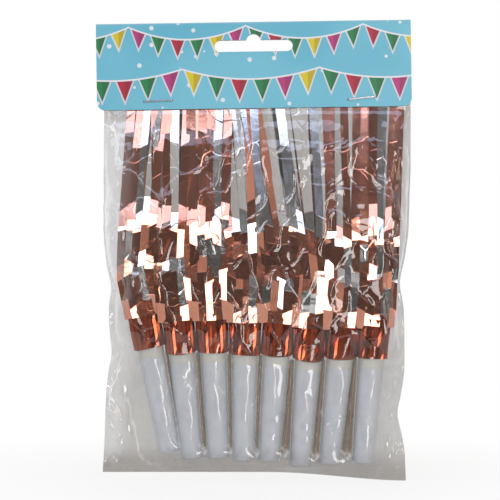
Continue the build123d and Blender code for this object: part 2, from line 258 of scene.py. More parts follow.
def print_group():
    """Party print for the card: two rows of pennants on sagging strings, over confetti on sky blue."""
    group, given, made = new_group(
        "bunting_print",
        [("Sky", "NodeSocketColor", None), ("Pale sky", "NodeSocketColor", None)],
        [("Color", "NodeSocketColor"), ("Ink", "NodeSocketFloat")],
    )
    spot = add(group, "ShaderNodeNewGeometry")
    level = add(group, "ShaderNodeVectorRotate", rotation_type="Y_AXIS",
                links=[("Vector", spot.outputs["Position"]), ("Angle", math.radians(CARD_TILT))])
    sized = add(group, "ShaderNodeVectorMath", [(0, level.outputs[0]), ("Scale", 1000.0)], operation="SCALE")
    parts = add(group, "ShaderNodeSeparateXYZ", [(0, sized.outputs[0])])
    across, high = parts.outputs["X"], parts.outputs["Z"]
    wash = add(group, "ShaderNodeTexNoise", [("Vector", sized.outputs[0]), ("Scale", 0.02), ("Detail", 1.0)])
    paper = mix_colour(group, smooth_range(group, wash.outputs["Fac"], 0.35, 0.65), given.outputs["Sky"],
                       given.outputs["Pale sky"])
    dots = add(group, "ShaderNodeTexVoronoi", [("Vector", sized.outputs[0]), ("Scale", 0.17), ("Randomness", 0.9)])
    picked = add(group, "ShaderNodeSeparateColor", [(0, dots.outputs["Color"])])
    dot = smooth_range(group, dots.outputs["Distance"], 0.17, 0.15)
    some = math_node(group, "GREATER_THAN", picked.outputs[0], 0.35)
    shade = mix_colour(group, math_node(group, "MULTIPLY", dot, some), paper, colour(226, 231, 235))
    ink = None
    for top, sag, pitch, drop, shift, order in ((-9.5, 4.5, 9.6, 10.5, 3.0, 0.4), (8.4, 5.5, 8.2, 9.0, 0.0, 0.6)):
        along = math_node(group, "ADD", across, 200.0 + shift)
        swing = math_node(group, "FRACT", math_node(group, "DIVIDE", along, pitch * 6))
        arch = math_node(group, "MULTIPLY", swing, math_node(group, "SUBTRACT", 1.0, swing))
        bow = math_node(group, "MULTIPLY", arch, 4.0 * sag)
        below = math_node(group, "SUBTRACT", math_node(group, "SUBTRACT", top, bow), high)
        cell = math_node(group, "DIVIDE", along, pitch)
        side = math_node(group, "SUBTRACT", math_node(group, "FRACT", cell), 0.5)
        off = math_node(group, "MULTIPLY", math_node(group, "ABSOLUTE", side), pitch)
        left = math_node(group, "SUBTRACT", 1.0, math_node(group, "DIVIDE", below, drop))
        reach = math_node(group, "MULTIPLY", left, pitch * 0.43)
        within = math_node(group, "SUBTRACT", reach, off)
        inside = math_node(group, "MULTIPLY", smooth_range(group, within, -0.08, 0.08),
                           math_node(group, "GREATER_THAN", below, 0.0))
        turn = math_node(group, "FRACT", math_node(group, "MULTIPLY", math_node(group, "FLOOR", cell), order))
        ramp = add(group, "ShaderNodeValToRGB", [(0, turn)])
        ramp.color_ramp.interpolation = "CONSTANT"
        for step, tone in enumerate(PENNANT_INKS):
            stop = ramp.color_ramp.elements[step] if step < 2 else ramp.color_ramp.elements.new(0.5)
            stop.position, stop.color = 0.2 * step + (0.0 if step == 0 else -0.05), tone
        half = math_node(group, "MULTIPLY", math_node(group, "GREATER_THAN", side, 0.0), 0.3)
        flag = mix_colour(group, half, ramp.outputs["Color"], (0.02, 0.015, 0.03, 1.0))
        rim = smooth_range(group, within, 0.75, 0.55)
        flag = mix_colour(group, math_node(group, "MULTIPLY", rim, 0.85), flag, colour(224, 226, 230))
        shade = mix_colour(group, inside, shade, flag)
        string = smooth_range(group, math_node(group, "ABSOLUTE", below), 0.42, 0.28)
        shade = mix_colour(group, string, shade, colour(228, 230, 232))
        ink = inside if ink is None else math_node(group, "MAXIMUM", ink, inside)
    group.links.new(shade, made.inputs["Color"])
    group.links.new(ink, made.inputs["Ink"])
    return group


def new_material(name):
    """A material with its Principled shader."""
    material = bpy.data.materials.new(name)
    material.use_nodes = True
    tree = material.node_tree
    return material, tree, tree.nodes["Principled BSDF"], tree.nodes["Material Output"]


def use_tone(tree, shader, group, light, dark, scale, smooth, rough):
    """Gives a shader an uneven colour and roughness."""
    node = add(tree, "ShaderNodeGroup", node_tree=group)
    node.inputs["Light"].default_value = light
    node.inputs["Dark"].default_value = dark
    node.inputs["Scale"].default_value = scale
    node.inputs["Smooth"].default_value = smooth
    node.inputs["Rough"].default_value = rough
    tree.links.new(node.outputs["Color"], shader.inputs["Base Color"])
    tree.links.new(node.outputs["Roughness"], shader.inputs["Roughness"])
    return node


def use_crinkle(tree, shaders, group, cells, waves, wave_share, ridge, depth):
    """Gives shaders the bump of a crumpled skin, and gives back the skin and its bump."""
    node = add(tree, "ShaderNodeGroup", node_tree=group)
    node.inputs["Cells"].default_value = cells
    node.inputs["Waves"].default_value = waves
    node.inputs["Wave share"].default_value = wave_share
    node.inputs["Ridge"].default_value = ridge
    bump = add(tree, "ShaderNodeBump", [("Height", node.outputs["Height"]), ("Distance", depth)])
    for shader in shaders:
        tree.links.new(bump.outputs["Normal"], shader.inputs["Normal"])
    return node, bump


def foil_material(name, light, dark, smooth, rough, depth, lacquer, bends=0.0):
    """Metallised film, almost flat between its folds, with or without lacquer, bent across below the shoulder."""
    material, tree, shader, _ = new_material(name)
    use_tone(tree, shader, tone_group, light, dark, 90.0, smooth, rough)
    skin, bump = use_crinkle(tree, [shader], skin_group, 60.0, 150.0, 0.8, 0.02, depth)
    if bends > 0.0:
        place = add(tree, "ShaderNodeTexCoord")
        across = add(tree, "ShaderNodeMapping",
                     [("Vector", place.outputs["Object"]), ("Scale", (70.0, 70.0, 210.0))])
        bands = add(tree, "ShaderNodeTexNoise", [("Vector", across.outputs[0]), ("Scale", 1.0), ("Detail", 1.0)])
        high = add(tree, "ShaderNodeSeparateXYZ", [(0, place.outputs["Object"])])
        low = math_node(tree, "MULTIPLY", smooth_range(tree, high.outputs["Z"], -0.074, -0.092), bends)
        bent = math_node(tree, "MULTIPLY", bands.outputs["Fac"], low)
        tree.links.new(math_node(tree, "ADD", skin.outputs["Height"], bent), bump.inputs["Height"])
    shader.inputs["Metallic"].default_value = 1.0
    shader.inputs["Coat Weight"].default_value = lacquer
    shader.inputs["Coat Roughness"].default_value = 0.08
    return material


def film_material(name, haze_tone, tint, milk, least_shine):
    """Clear film with a faint tint and a sharp shine: paler at a slant by a painted sheen, paler and hazier where
    crumpled, and darker and warmer between mouthpieces and along the bottom by painted shade.
    """
    material, tree, shader, output = new_material(name)
    darker = (*(0.7 * c for c in haze_tone[:3]), 1.0)
    tone = use_tone(tree, shader, tone_group, haze_tone, darker, 60.0, 0.22, 0.34)
    gloss = add(tree, "ShaderNodeBsdfGlossy", [("Color", (1.0, 1.0, 1.0, 1.0)), ("Roughness", 0.06)])
    skin, _ = use_crinkle(tree, [shader, gloss], skin_group, 42.0, 120.0, 0.18, 0.022, 0.00010)
    facing = add(tree, "ShaderNodeLayerWeight", [("Blend", 0.5)])
    steep = math_node(tree, "POWER", facing.outputs["Facing"], 1.6)
    # This mask is painted shade: it makes the film denser, darker and warmer between mouthpieces and along the
    # bottom.
    painted_shade = add(tree, "ShaderNodeAttribute", attribute_name="painted_shade").outputs["Fac"]
    crumpled = add(tree, "ShaderNodeAttribute", attribute_name="crumpled").outputs["Fac"]
    streaks = math_node(tree, "ADD", math_node(tree, "MULTIPLY", skin.outputs["Height"], 2.0), 0.2)
    milky = math_node(tree, "MULTIPLY", crumpled, streaks)
    # Painted sheen whitens the haze colour at a slant; crumpled film is also paler, by its own haze.
    pale = math_node(tree, "ADD", math_node(tree, "MULTIPLY", milky, 0.9), steep, clamp=True)
    pale = math_node(tree, "MULTIPLY", pale, math_node(tree, "SUBTRACT", 1.0, painted_shade))
    shade = mix_colour(tree, pale, tone.outputs["Color"], (0.92, 0.93, 0.95, 1.0))
    # Painted shade: a darker, warmer haze colour between mouthpieces and along the bottom.
    shade = mix_colour(tree, painted_shade, shade, (0.22, 0.175, 0.12, 1.0))
    tree.links.new(shade, shader.inputs["Base Color"])
    haze = add(tree, "ShaderNodeMapRange", [("Value", steep), ("To Min", tint), ("To Max", 0.5)])
    # The painted shade also thickens the film there.
    extra = math_node(tree, "ADD", math_node(tree, "MULTIPLY", painted_shade, 0.48),
                      math_node(tree, "MULTIPLY", milky, milk))
    thin = math_node(tree, "SUBTRACT", 1.0, math_node(tree, "MULTIPLY", crumpled, 0.6))
    dense = math_node(tree, "ADD", math_node(tree, "MULTIPLY", haze.outputs["Result"], thin), extra, clamp=True)
    tree.links.new(dense, shader.inputs["Alpha"])
    graze = math_node(tree, "POWER", facing.outputs["Facing"], 5.0)
    shine = math_node(tree, "ADD", math_node(tree, "MULTIPLY", graze, 1.0 - least_shine), least_shine)
    mixed = add(tree, "ShaderNodeMixShader", [(0, shine), (1, shader.outputs[0]), (2, gloss.outputs[0])])
    tree.links.new(mixed.outputs[0], output.inputs["Surface"])
    return material


def card_material():
    """Coated card with its print, white at the cut edges and paler at the fold."""
    material, tree, shader, _ = new_material("printed_card")
    art = add(tree, "ShaderNodeGroup", node_tree=print_group())
    art.inputs["Sky"].default_value = colour(96, 180, 203)
    art.inputs["Pale sky"].default_value = colour(117, 192, 212)
    place = add(tree, "ShaderNodeNewGeometry")
    facing = add(tree, "ShaderNodeSeparateXYZ", [(0, place.outputs["True Normal"])])
    flat = math_node(tree, "ABSOLUTE", facing.outputs["Y"])
    not_fold = math_node(tree, "LESS_THAN", facing.outputs["Z"], 0.4)
    cut = math_node(tree, "MULTIPLY", math_node(tree, "LESS_THAN", flat, 0.35), not_fold)
    fold = math_node(tree, "MULTIPLY", smooth_range(tree, facing.outputs["Z"], 0.25, 0.95), 0.35)
    worn = mix_colour(tree, fold, art.outputs["Color"], colour(214, 226, 232))
    edged = mix_colour(tree, cut, worn, colour(225, 224, 219))
    tree.links.new(edged, shader.inputs["Base Color"])
    fibre = add(tree, "ShaderNodeTexNoise", [("Scale", 2600.0), ("Detail", 3.0)])
    coord = add(tree, "ShaderNodeTexCoord")
    tree.links.new(coord.outputs["Object"], fibre.inputs["Vector"])
    rough = add(tree, "ShaderNodeMapRange", [("Value", fibre.outputs["Fac"]), ("To Min", 0.34), ("To Max", 0.52)])
    tree.links.new(rough.outputs["Result"], shader.inputs["Roughness"])
    bump = add(tree, "ShaderNodeBump", [("Height", fibre.outputs["Fac"]), ("Distance", 0.00003), ("Strength", 0.5)])
    tree.links.new(bump.outputs["Normal"], shader.inputs["Normal"])
    return material


def mouthpiece_material(blower):
    """Milky moulded plastic, warmer above the socket's step, where the wall is thin over plug and tube."""
    material, tree, shader, _ = new_material(f"mouthpiece_plastic_{blower.number}")
    tone = use_tone(tree, shader, tone_group, colour(224, 230, 235), colour(216, 223, 229), 150.0, 0.30, 0.42)
    place = add(tree, "ShaderNodeNewGeometry")
    along = add(tree, "ShaderNodeVectorMath", operation="DOT_PRODUCT",
                links=[(0, place.outputs["Position"]), (1, blower.up)])
    step = blower.origin.dot(blower.up) + SOCKET_STEP * MM
    above = smooth_range(tree, along.outputs["Value"], step - 0.0001, step + 0.0004)
    socket = math_node(tree, "MULTIPLY", above, 0.75)
    shade = mix_colour(tree, socket, tone.outputs["Color"], colour(226, 228, 214))
    tree.links.new(shade, shader.inputs["Base Color"])
    shader.inputs["Subsurface Weight"].default_value = 0.15
    shader.inputs["Subsurface Radius"].default_value = (1.0, 0.95, 0.9)
    shader.inputs["Subsurface Scale"].default_value = 0.003
    grain = add(tree, "ShaderNodeTexNoise", [("Scale", 900.0), ("Detail", 2.0)])
    coord = add(tree, "ShaderNodeTexCoord")
    tree.links.new(coord.outputs["Object"], grain.inputs["Vector"])
    bump = add(tree, "ShaderNodeBump", [("Height", grain.outputs["Fac"]), ("Distance", 0.00004), ("Strength", 0.4)])
    tree.links.new(bump.outputs["Normal"], shader.inputs["Normal"])
    return material


def plain_plastic(name, light, dark, smooth, rough):
    """Small moulded or cut plastic piece."""
    material, tree, shader, _ = new_material(name)
    use_tone(tree, shader, tone_group, light, dark, 400.0, smooth, rough)
    return material


def wire_material():
    """Zinc-plated wire with drawing lines along it."""
    material, tree, shader, _ = new_material("staple_wire")
    use_tone(tree, shader, tone_group, (0.66, 0.66, 0.67, 1.0), (0.42, 0.42, 0.43, 1.0), 900.0, 0.22, 0.42)
    shader.inputs["Metallic"].default_value = 1.0
    coord = add(tree, "ShaderNodeTexCoord")
    drawn = add(tree, "ShaderNodeMapping", [("Vector", coord.outputs["Object"]), ("Scale", (60.0, 4000.0, 4000.0))])
    lines = add(tree, "ShaderNodeTexNoise", [("Vector", drawn.outputs[0]), ("Scale", 1.0), ("Detail", 2.0)])
    bump = add(tree, "ShaderNodeBump", [("Height", lines.outputs["Fac"]), ("Distance", 0.00002), ("Strength", 0.6)])
    tree.links.new(bump.outputs["Normal"], shader.inputs["Normal"])
    return material


# Film

def bag_edge(z):
    """Left and right edge of the filled bag at a height, eased between the measured ones."""
    heights, left, right = (np.array(column) for column in zip(*sorted(BAG_EDGES)))
    total_left, total_right = 0.0, 0.0
    for shift in (-3.0, -1.5, 0.0, 1.5, 3.0):
        total_left = total_left + np.interp(z + shift, heights, left)
        total_right = total_right + np.interp(z + shift, heights, right)
    return total_left / 5.0, total_right / 5.0


def bag_depth(x, z):
    """Half-depth of the filled bag at a place, before its creases: flat fins at the sides, full within."""
    heights, depths = (np.array(column) for column in zip(*BAG_DEPTHS))
    uneven = z + 1.6 * ripple(x, z, 71, 34.0) * eased(z, -30.0, -40.0)
    depth = sum(np.interp(uneven + shift, heights, depths) for shift in (-1.6, -0.8, 0.0, 0.8, 1.6)) / 5.0
    left, right = bag_edge(z)
    fin = 0.8 + 1.6 * eased(z, -94.0, -104.0)
    inward = np.clip((np.minimum(x - left, right - x) - fin) / (8.6 - 0.6 * fin), 0.0, 1.0)
    return 0.2 + (depth - 0.2) * np.sqrt(1.0 - (1.0 - inward) ** 2)


def ripple(x, z, seed, wavelength, stretch=1.0, waves=10):
    """Smooth random waves over the film, drawn out upwards by stretch."""
    rng = np.random.default_rng(seed)
    total = 0.0
    for _ in range(waves):
        angle, phase = rng.uniform(0.0, 2.0 * math.pi, 2)
        number = 2.0 * math.pi / wavelength * rng.uniform(0.6, 1.5)
        total = total + np.sin(number * (x * math.cos(angle) + z * math.sin(angle) / stretch) + phase)
    return total / math.sqrt(waves / 2.0)


def eased(value, low, high):
    """0 at low, 1 at high, smooth between."""
    t = np.clip((value - low) / (high - low), 0.0, 1.0)
    return t * t * (3.0 - 2.0 * t)


def over_mouthpieces(x, z, bottom, dip):
    """Half-depth of the film over the row, which dips between two blowers and falls off beside them.

    Also gives a mask between two mouthpieces, where the film gets painted shade.
    """
    axes, radii, inner, bare, under = [], [], [], [], []
    for blower in blowers:
        high = (z - blower.origin.z / MM) / blower.up.z
        body = MOUTH_RADIUS + (TUBE_END_RADIUS - MOUTH_RADIUS) * (high - MOUTH) / (TUBE_END - MOUTH)
        radius = body + 0.4 + (COLLAR_RADIUS + 0.8 - body) * eased(high, -4.0, -0.6)
        end = blower.origin.z / MM + MOUTH * blower.up.z
        fall = np.clip((z - bottom - 0.2) / (end - 0.2 - bottom), 0.0, 1.0)
        axes.append(blower.axis_x(z))
        radii.append(0.2 + (radius - 0.2) * fall)
        inner.append(body)
        bare.append(eased(high, MOUTH, MOUTH + 7.0))
        under.append(eased(high, 0.0, -1.5))
    left, right = axes[0] - x, x - axes[-1]
    reach = np.where(left > 0.0, radii[0] * (1.0 - eased(left, 0.0, 15.0)),
                     radii[-1] * (1.0 - eased(right, 0.0, 15.0)))
    # The mask between two mouthpieces is painted shade on the film.
    painted_shade = np.zeros_like(x)
    for k in range(len(blowers) - 1):
        way = (x - axes[k]) / (axes[k + 1] - axes[k])
        inside = (way >= 0.0) & (way < 1.0)
        off = 1.0 - np.abs(2.0 * way - 1.0)
        radius = radii[k] + (radii[k + 1] - radii[k]) * way
        held = np.minimum(bare[k], bare[k + 1])
        sagged = np.maximum(radius - dip * held * np.clip(off, 0.0, 1.0) ** 2.2, 0.2)
        reach = np.where(inside, sagged, reach)
        clear = off * (axes[k + 1] - axes[k]) / 2.0 - (inner[k] + inner[k + 1]) / 2.0
        painted_shade = np.where(inside, eased(clear, 0.1, 0.45) * held * np.minimum(under[k], under[k + 1]), painted_shade)
    return reach, painted_shade


def crinkled_film(front_film, back_film):
    """The bag: a front and a back sheet of film that meet at its edges, wrinkled over what is inside."""
    columns, rows = 288, 320
    share_x, share_z = np.meshgrid(np.linspace(0.0, 1.0, columns), np.linspace(0.0, 1.0, rows))
    level = BAG_TOP + (BAG_BOTTOM - BAG_TOP) * share_z
    left, right = bag_edge(level)
    x = left + (right - left) * share_x
    droop = 3.6 * eased(x, 0.0, 64.0) ** 1.3
    z = level - droop * eased(level, -160.0, BAG_BOTTOM)
    aside = np.minimum(x - left, right - x)
    under_card = eased(level, CARD_BOTTOM - 2.0, CARD_BOTTOM - 9.0)
    off_seal = eased(level, BAG_BOTTOM + 1.5, BAG_BOTTOM + 6.0)
    low = eased(z, -118.0, -130.0)
    room = under_card * off_seal * eased(aside, 0.0, 3.0)
    side_reach = 0.2 + 9.0 * (1.0 - (1.0 - np.clip(aside / 13.0, 0.0, 1.0)) ** 1.6)
    warp = 2.2 * ripple(x, z, 11, 19.0)
    fin = (1.0 - eased(aside, 2.0, 12.0)) * under_card * off_seal
    sheets = []
    for seed in (20, 40):
        over, between = over_mouthpieces(x, z, BAG_BOTTOM - droop, FILM_DIP)
        sheet = low * np.minimum(over, side_reach) + (1.0 - low) * bag_depth(x, z)
        drawn = 0.14 * ripple(x + warp, z, seed + 1, 10.0, 3.2) + 0.02 * ripple(x, z + warp, seed + 2, 4.6, 2.0)
        loose = 0.13 * ripple(x, z, seed + 3, 19.0, 1.3) + 0.04 * ripple(x + warp, z, seed + 4, 7.5, 1.7)
        for fold in (5, 7):
            crease = np.abs(ripple(x, z + warp, seed + fold, 26.0, 1.3))
            loose = loose - 0.28 * np.minimum(crease, 0.22) / 0.22 + 0.28
        sheet = sheet + room * (low * (drawn + 0.1) + (1.0 - low) * loose)
        sheet = sheet + 0.30 * fin * np.abs(ripple(x * 1.6, z, seed + 6, 6.5, 2.6))
        sheets.append(np.maximum(sheet, 0.15))
    middle = 0.6 * fin * ripple(x * 1.2 + warp, z, 61, 14.0, 2.2)
    verts = np.concatenate([
        np.stack([x, middle + sign * sheet, z], axis=-1).reshape(-1, 3) * MM
        for sign, sheet in zip((-1.0, 1.0), sheets)
    ])
    count = rows * columns
    index = np.arange(count).reshape(rows, columns)
    a, b, c, d = index[:-1, :-1], index[:-1, 1:], index[1:, 1:], index[1:, :-1]
    front = np.stack([a, d, c, b], axis=-1).reshape(-1, 4)
    back = np.stack([a, b, c, d], axis=-1).reshape(-1, 4) + count
    rim = np.concatenate([index[0, :-1], index[:-1, -1], index[-1, :0:-1], index[:0:-1, 0]])
    after = np.roll(rim, -1)
    edge = np.stack([rim, after, after + count, rim + count], axis=-1)
    faces = np.concatenate([front, back, edge])
    sides = [0] * len(front) + [1] * len(back) + [0] * len(edge)
    film = make_piece("film_bag", verts.tolist(), faces.tolist(), [front_film, back_film], sides, smooth=True)
    # The mask between mouthpieces, widened along the bottom of the bag, is painted shade on the film.
    between = np.maximum(between, 0.25 * eased(level, BAG_BOTTOM + 12.0, BAG_BOTTOM + 4.0))
    slack = eased(x, -46.0, -56.0) * eased(level, -118.0, -104.0) * under_card
    crumpled = np.maximum(0.7 * fin * (1.0 - 0.7 * eased(x, 20.0, 40.0)), slack)
    for label, share in (("painted_shade", low * between), ("crumpled", crumpled)):
        mask = film.data.attributes.new(label, "FLOAT", "POINT")
        mask.data.foreach_set("value", np.tile(share.ravel(), 2))
    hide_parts("bag")
    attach(film, "pack")
    return film


# Foil frills

class Ribbon:
    """Verts and faces of closed foil ribbons and sleeves that make up one frill."""

    def __init__(self):
        self.verts, self.faces, self.sides = [], [], []

    def ring(self, corners):
        """Adds the four corners of one station and gives the number of the first."""
        first = len(self.verts)
        self.verts.extend(corners)
        return first

    def strip(self, stations, outsides):
        """A ribbon through stations of four corners, two outside and two inside, with each run's outside finish."""
        starts = [self.ring(corners) for corners in stations]
        for low, high, outside in zip(starts, starts[1:], outsides):
            self.face((low, low + 1, high + 1, high), outside)
            self.face((low + 2, low + 3, high + 3, high + 2), 1 - outside)
            self.face((low + 1, low + 2, high + 2, high + 1), 1)
            self.face((low + 3, low, high, high + 3), 1)
        first, last = starts[0], starts[-1]
        self.face((first + 3, first + 2, first + 1, first), 1)
        self.face((last, last + 1, last + 2, last + 3), 1)

    def face(self, corners, side):
        """One face, on the rose side or the silver side."""
        self.faces.append(corners)
        self.sides.append(side)


def collar(sleeve, blower, rng):
    """Crinkled sleeve round the tube end: uneven pleats that wander a little, with an almost straight lower edge."""
    pleats, levels = 44, 8
    crests = [(0.50 if n % 2 else 0.0) + rng.uniform(-0.06, 0.14) for n in range(pleats)]
    turns = [rng.uniform(-0.36, 0.36) for _ in range(pleats)]
    wave = rng.uniform(0.0, 6.28)
    layers = []
    for inset in (0.0, FOIL_THICKNESS):
        grid = []
        for level in range(levels):
            share = level / (levels - 1)
            flare = 0.5 * max(0.0, share - 0.75) / 0.25
            row = []
            for n in range(pleats):
                angle = 2.0 * math.pi * (n + turns[n] * (0.5 + 0.5 * math.sin(2.6 * share + n))) / pleats
                crest = crests[n] * (0.7 + 0.4 * math.sin(3.1 * share + turns[n] * 9.0) ** 2)
                radius = COLLAR_RADIUS + crest + flare - inset
                edge = -0.3 - 0.7 * math.cos(angle) + 0.25 * math.sin(2.0 * angle + wave)
                high = edge * (1.0 - share) + share * (COLLAR_TOP + 0.6)
                row.append(len(sleeve.verts))
                sleeve.verts.append(blower.place(radius * math.sin(angle), -radius * math.cos(angle), high))
            grid.append(row)
        layers.append(grid)
    outer, inner = layers
    for level in range(levels - 1):
        for n in range(pleats):
            m = (n + 1) % pleats
            sleeve.face((outer[level][n], outer[level][m], outer[level + 1][m], outer[level + 1][n]), 2)
            sleeve.face((inner[level][m], inner[level][n], inner[level + 1][n], inner[level + 1][m]), 1)
    for n in range(pleats):
        m = (n + 1) % pleats
        sleeve.face((inner[0][n], inner[0][m], outer[0][m], outer[0][n]), 2)
        sleeve.face((outer[-1][n], outer[-1][m], inner[-1][m], inner[-1][n]), 1)


def strip_turn(tone, x, rng):
    """Turn of a flat run about its length: it reflects the front lamp, the room's pale side or the dim room."""
    lamp = 8.2 - 0.064 * x
    if tone == "bright":
        return lamp + rng.uniform(-1.2, 1.2)
    if tone == "pale":
        return -10.5 - 0.036 * x + rng.uniform(-1.2, 1.2)
    return lamp - rng.uniform(4.5, 11.0)


def strip_folds(rng, top, tuck, shine, low_shine, tone, lane, outer):
    """Folds of a strip as (height, depth, tone below): a zigzag over the roll, a shoulder, a long run and a tuck."""
    near, far = 7.0 + 0.25 * lane, 7.8 + 0.2 * lane
    first = "bright" if rng.random() < 0.3 else "dim"
    folds = [(COLLAR_TOP + 5.8, near, "dim") if outer else
             (COLLAR_TOP + rng.uniform(2.2, 4.6), near - rng.uniform(0.2, 1.0), first)]
    outward = True
    while folds[-1][0] < ROLL_CLEAR - 13.0:
        rise = rng.uniform(8.0, 15.0) if outward else rng.uniform(4.0, 7.0)
        lit = low_shine if folds[-1][0] < ROLL_FRONT else 0.4 * shine
        shade = rng.choices(("dim", "bright", "pale"), (1.0 - PALE_SHARE - lit, lit, PALE_SHARE))[0]
        folds.append((folds[-1][0] + rise, far if outward else near, shade))
        outward = not outward
    start = max(folds[-1][0] + 1.5, ROLL_CLEAR - rng.uniform(0.0, 7.0))
    folds.append((start, far, "bright" if rng.random() < 0.85 * shine else "dim"))
    length = rng.uniform(5.0, 10.0)
    slope = rng.uniform(12.0, 17.0) if rng.random() < shine else rng.uniform(3.0, 8.0)
    folds.append((start + length, far - length * math.tan(math.radians(slope)), "level"))
    end = top - tuck * rng.uniform(0.65, 1.25)
    deep = 0.35 + (top - end) * math.tan(math.radians(rng.uniform(12.0, 17.0)))
    share = rng.uniform(0.35, 0.65)
    bend = start + length + (end - start - length) * share
    folds.append((bend, folds[-1][1] + (deep - folds[-1][1]) * share + rng.uniform(-0.3, 0.3), tone))
    folds.append((end, deep, tone))
    return folds + ([(top, rng.uniform(0.2, 0.45), "level")] if tuck > 0.0 else [])


def foil_strip(sheet, blower, rng, side, root_x, lane, look, sweep):
    """One strip of a frill, from the collar over the roll and up under the card, flat between its slanting folds."""
    aside = root_x + sweep + (ROLL_CENTRE + 8.0) * blower.up.x / blower.up.z
    top = (STRIP_TOP - blower.origin.z / MM + blower.up.x * aside) * blower.up.z - 2.2 * abs(blower.up.x) - 0.4
    tuck, shine, low_shine = (table[blower.number - 1] for table in (STRIP_TUCK, STRIP_SHINE, LOW_SHINE))
    half = STRIP_WIDTH / 2.0 * rng.uniform(0.92, 1.06)
    lean = blower.up.x / blower.up.z
    root = math.sqrt((COLLAR_RADIUS + 0.95 - 0.1 * lane) ** 2 - min(abs(root_x), 6.2) ** 2)
    low, slant = Vector((root_x, side * root, COLLAR_TOP - 2.4)), 0.0
    stations, outsides = [], []
    run, outer = "pale" if look.islower() else "dim", abs(root_x) > 5.0
    for height, deep, tone in strip_folds(rng, top, tuck, shine, low_shine, run, lane, outer):
        over_roll = max(0.0, height - ROLL_CENTRE - 8.0)
        lay = sweep * (over_roll / (top - ROLL_CENTRE - 8.0)) ** 1.25 - lean * over_roll
        x = root_x + lay + rng.uniform(-0.2, 0.2)
        spot = blower.place(x, 0.0, height)
        deep = min(deep, max(float(bag_depth(spot.x / MM, spot.z / MM)) - 0.45, 0.25))
        high = Vector((x, side * deep, height))
        turn = rng.uniform(-4.0, 4.0) if tone == "level" else strip_turn(tone, spot.x / MM, rng)
        angle = math.radians(180.0 - turn if side > 0 else turn)
        wide = Vector((math.cos(angle), math.sin(angle), 0.0)) * half
        thick = Vector((math.sin(angle), -math.cos(angle), 0.0)) * FOIL_THICKNESS / 2.0
        along = (high - low).normalized()
        over = ROLL_CENTRE < height and rng.random() < TURNED_SHARE
        next_slant = rng.uniform(-1.1, 1.1) if height < top - 1.5 else 0.0
        for centre, skew in ((low + along * FOLD, slant), (high, next_slant)):
            slant, edge = skew, wide + along * skew
            corners = (centre - edge + thick, centre + edge + thick, centre + edge - thick, centre - edge - thick)
            stations.append([blower.place(*corner) for corner in corners])
            outsides.append(int(look in "Ss" if height > ROLL_CLEAR else over))
        low = high
    sheet.strip(stations, outsides[1:])


def frill(blower, rose, silver, sleeve):
    """Collar and strips of one blower: rose outside, silver inside, some strips turned over above the roll."""
    rng = random.Random(700 + blower.number)
    sheet = Ribbon()
    collar(sheet, blower, rng)
    looks, (first, last) = STRIP_LOOKS[blower.number - 1], STRIP_SWEEPS[blower.number - 1]
    for side in (1.0, -1.0):
        for place in range(STRIPS_PER_SIDE):
            root = STRIP_PITCH * (place - (STRIPS_PER_SIDE - 1) / 2) + rng.uniform(-0.25, 0.25)
            sweep = first + (last - first) * place / (STRIPS_PER_SIDE - 1) + rng.uniform(-1.2, 1.2)
            look = looks[place] if side < 0.0 else "R"
            foil_strip(sheet, blower, rng, side, root, place % 2, look, sweep)
    made = make_piece(f"foil_frill_{blower.number}", sheet.verts, sheet.faces, [rose, silver, sleeve], sheet.sides)
    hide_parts(f"frill_{blower.number}")
    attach(made, "pack")
    return made


# Blow-out tubes

def flat_tube(name, blower, line, widths, material):
    """A flattened tube along a line of (back, up) points: rounded edges and a slight crown."""
    verts, faces = [], []
    profile = ((-1.0, 0.0), (-0.94, -0.8), (-0.5, -1.0), (0.5, -1.0), (0.94, -0.8), (1.0, 0.0),
               (0.94, 0.8), (0.5, 1.0), (-0.5, 1.0), (-0.94, 0.8))
    for step, (back, up) in enumerate(line):
        before, after = line[max(step - 1, 0)], line[min(step + 1, len(line) - 1)]
        way = Vector((after[0] - before[0], after[1] - before[1])).normalized()
        for across, off in profile:
            lift = off * TUBE_THICKNESS / 2.0
            verts.append(blower.place(across * widths[step] / 2.0, back + way.y * lift, up - way.x * lift))
    size = len(profile)
    for step in range(len(line) - 1):
        for n in range(size):
            m = (n + 1) % size
            low, high = step * size, (step + 1) * size
            faces.append((low + n, low + m, high + m, high + n))
    last = (len(line) - 1) * size
    faces.append(tuple(range(size - 1, -1, -1)))
    faces.append(tuple(last + n for n in range(size)))
    return make_piece(name, verts, faces, [material], smooth=False)


def rolled_tube(blower, material):
    """The roll: the flat tube wound three turns from the top of the neck, over the front and inwards."""
    turns, steps, pitch = 3.0, 78, 1.25
    line = []
    for step in range(steps + 1):
        share = step / steps
        angle = 2.0 * math.pi * turns * share
        radius = ROLL_RADIUS - TUBE_THICKNESS / 2.0 - pitch * turns * share
        line.append((radius * math.cos(angle), ROLL_CENTRE + radius * math.sin(angle)))
    made = flat_tube(f"rolled_tube_{blower.number}", blower, line, [ROLL_WIDTH] * len(line), material)
    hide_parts(f"tube_roll_{blower.number}")
    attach(made, f"roll_{blower.number}")
    return made


def tube_neck(blower, material):
    """The neck: out of the socket and back in an S to the roll's outer end, wider upwards."""
    end = ROLL_RADIUS - TUBE_THICKNESS / 2.0
    line, widths = [], []
    socket = 2.0 * (SOCKET_RADIUS - 0.35)
    for step in range(27):
        up = PLUG_TOP + (ROLL_CENTRE - PLUG_TOP) * step / 26.0
        share = max(0.0, (up - TUBE_END) / (ROLL_CENTRE - TUBE_END))
        line.append((end * share * share * (3.0 - 2.0 * share), up))
        widths.append(socket + (ROLL_WIDTH - socket) * share)
    made = flat_tube(f"tube_throat_{blower.number}", blower, line, widths, material)
    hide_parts(f"tube_neck_{blower.number}")
    blower.place(0, 0, TUBE_END)
    blower.place(0, 0, ROLL_CENTRE)
    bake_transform(made)
    return made


# Studio

